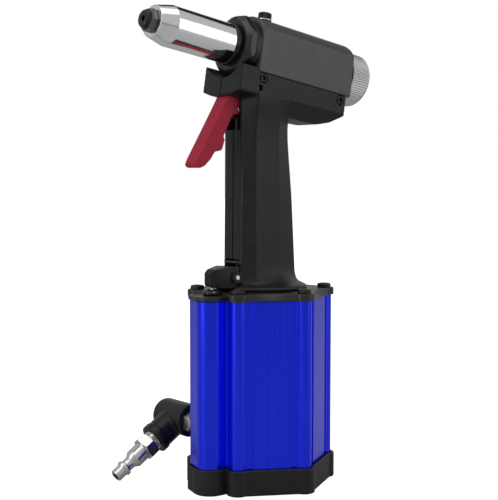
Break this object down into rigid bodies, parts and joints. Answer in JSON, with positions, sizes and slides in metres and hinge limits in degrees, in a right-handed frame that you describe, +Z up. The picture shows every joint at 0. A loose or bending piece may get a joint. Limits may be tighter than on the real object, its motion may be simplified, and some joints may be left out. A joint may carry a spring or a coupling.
{
  "type": "pneumatic rivet gun",
  "caption": "Air-powered blind rivet gun: lobed blue air cylinder in a rubber boot, black pistol handle, red trigger, tilted pulling head with a chromed nose, swivel air inlet.",
  "frame": {"origin": "centre of the base boot's flat underside, on the shared axis of the air cylinder and the handle", "axes": "+X forwards, the way the nose points; +Y to the tool's left; +Z up along the handle, from the base to the head"},
  "size_m": [0.1659, 0.1084, 0.2853],
  "materials": {
    "boot_rubber": "satin black rubber",
    "blue_anodised": "glossy deep blue anodised extrusion",
    "black_alloy": "satin black painted casting",
    "black_steel": "black oxide, oiled",
    "grip_plastic": "matte black moulded nylon with a fine grain",
    "head_alloy": "satin dark grey coated casting",
    "collar_alloy": "glossy dark grey anodised",
    "chrome_plate": "bright chrome plating",
    "knurled_alloy": "light grey, straight knurled",
    "trigger_plastic": "semi-gloss crimson moulding",
    "black_plastic": "satin black moulding",
    "black_fitting": "satin black moulded fitting",
    "plated_fitting": "nickel plated, machined",
    "steel": "ground steel",
    "valve_black": "glossy black anodised",
    "piston_alloy": "plain machined aluminium",
    "spring_steel": "drawn spring wire",
    "brass": "machined brass",
    "seal_rubber": "dull black nitrile"
  },
  "bodies": {
    "root": {"base_boot": "boot_rubber", "air_cylinder": "blue_anodised", "top_flange": "black_alloy", "bottom_cap": "black_alloy", "tie_screw_1": "black_steel", "tie_screw_2": "black_steel", "tie_screw_3": "black_steel", "tie_screw_4": "black_steel", "tie_screw_5": "black_steel", "tie_screw_6": "black_steel", "shell_screw_front": "black_steel", "shell_screw_rear": "black_steel", "oil_plug": "black_steel", "nosepiece": "black_steel", "handle_left": "grip_plastic", "handle_right": "grip_plastic", "head_body": "head_alloy", "collar_nut": "collar_alloy", "collar_ring": "collar_alloy", "head_bush": "collar_alloy", "frame_head": "chrome_plate", "rear_cap": "knurled_alloy", "inlet_nipple": "plated_fitting", "handle_tube": "steel", "trigger_pin": "steel", "rocker_pin": "steel", "rocker_stop_pin": "steel", "oil_plug_washer": "steel", "valve_cap": "valve_black", "return_spring": "spring_steel", "valve_spring": "spring_steel", "ram_gland": "brass", "front_gland": "brass", "valve_sleeve": "brass", "bottom_cap_seal": "seal_rubber", "flange_seal": "seal_rubber", "rod_seal": "seal_rubber"},
    "trigger": {"trigger": "trigger_plastic", "trigger_link_pin": "steel"},
    "trigger_rod": {"trigger_rod": "steel"},
    "valve_rocker": {"valve_rocker": "black_plastic"},
    "valve_stem": {"valve_stem": "steel"},
    "air_piston": {"air_piston": "piston_alloy", "air_piston_seal": "seal_rubber", "ram": "chrome_plate", "ram_nut": "steel"},
    "pull_piston": {"pull_piston": "steel", "pull_piston_seal": "seal_rubber", "mandrel_tube": "steel", "jaw_case": "steel", "jaw_spring": "spring_steel"},
    "jaw_pusher": {"jaw_pusher": "steel"},
    "jaw_1": {"jaw_1": "steel"},
    "jaw_2": {"jaw_2": "steel"},
    "jaw_3": {"jaw_3": "steel"},
    "swivel_elbow": {"elbow_body": "black_fitting", "air_plug": "plated_fitting"}
  },
  "joints": [
    {"name": "trigger_hinge", "type": "hinge", "parent": "root", "child": "trigger", "pos_m": [0.0152, 0, 0.2382], "axis": [0, 1, 0], "range_deg": [0, 13], "stiffness_Nm_per_rad": 1, "springref_deg": -11.46},
    {"name": "trigger_rod_slide", "type": "slide", "parent": "root", "child": "trigger_rod", "axis": [0, 0, -1], "range_m": [0, 0.0013]},
    {"name": "rocker_hinge", "type": "hinge", "parent": "root", "child": "valve_rocker", "pos_m": [0.0258, 0, 0.1266], "axis": [0, -1, 0], "range_deg": [0, 10]},
    {"name": "valve_stem_slide", "type": "slide", "parent": "root", "child": "valve_stem", "axis": [0, 0, 1], "range_m": [0, 0.0023], "deforming": ["valve_spring"]},
    {"name": "air_piston_slide", "type": "slide", "parent": "root", "child": "air_piston", "axis": [0, 0, 1], "range_m": [0, 0.042]},
    {"name": "pull_piston_slide", "type": "slide", "parent": "root", "child": "pull_piston", "axis": [-0.987, 0, -0.1607], "range_m": [0, 0.0151], "stiffness_N_per_m": 1500, "springref_m": -0.012, "deforming": ["return_spring"]},
    {"name": "jaw_pusher_slide", "type": "slide", "parent": "pull_piston", "child": "jaw_pusher", "axis": [0.987, 0, 0.1607], "range_m": [0, 0.002], "deforming": ["jaw_spring"]},
    {"name": "jaw_1_slide", "type": "slide", "parent": "pull_piston", "child": "jaw_1", "axis": [0.9988, 0, -0.048], "range_m": [0, 0.002]},
    {"name": "jaw_2_slide", "type": "slide", "parent": "pull_piston", "child": "jaw_2", "axis": [0.9487, 0.1801, 0.2598], "range_m": [0, 0.002]},
    {"name": "jaw_3_slide", "type": "slide", "parent": "pull_piston", "child": "jaw_3", "axis": [0.9487, -0.1801, 0.2598], "range_m": [0, 0.002]},
    {"name": "elbow_swivel", "type": "hinge", "parent": "root", "child": "swivel_elbow", "pos_m": [0.0288, -0.0485, 0.034], "axis": [0, -1, 0], "range_deg": [0, 140]}
  ],
  "couplings": [
    {"joint": "trigger_rod_slide", "follows": "trigger_hinge", "m_per_rad": 0.0057},
    {"joint": "rocker_hinge", "follows": "trigger_hinge", "ratio": 0.769},
    {"joint": "valve_stem_slide", "follows": "trigger_hinge", "m_per_rad": 0.01},
    {"joint": "pull_piston_slide", "follows": "air_piston_slide", "ratio": 0.3595},
    {"joint": "jaw_pusher_slide", "follows": "air_piston_slide", "ratio": 0.0476},
    {"joint": "jaw_1_slide", "follows": "air_piston_slide", "ratio": 0.0476},
    {"joint": "jaw_2_slide", "follows": "air_piston_slide", "ratio": 0.0476},
    {"joint": "jaw_3_slide", "follows": "air_piston_slide", "ratio": 0.0476}
  ]
}
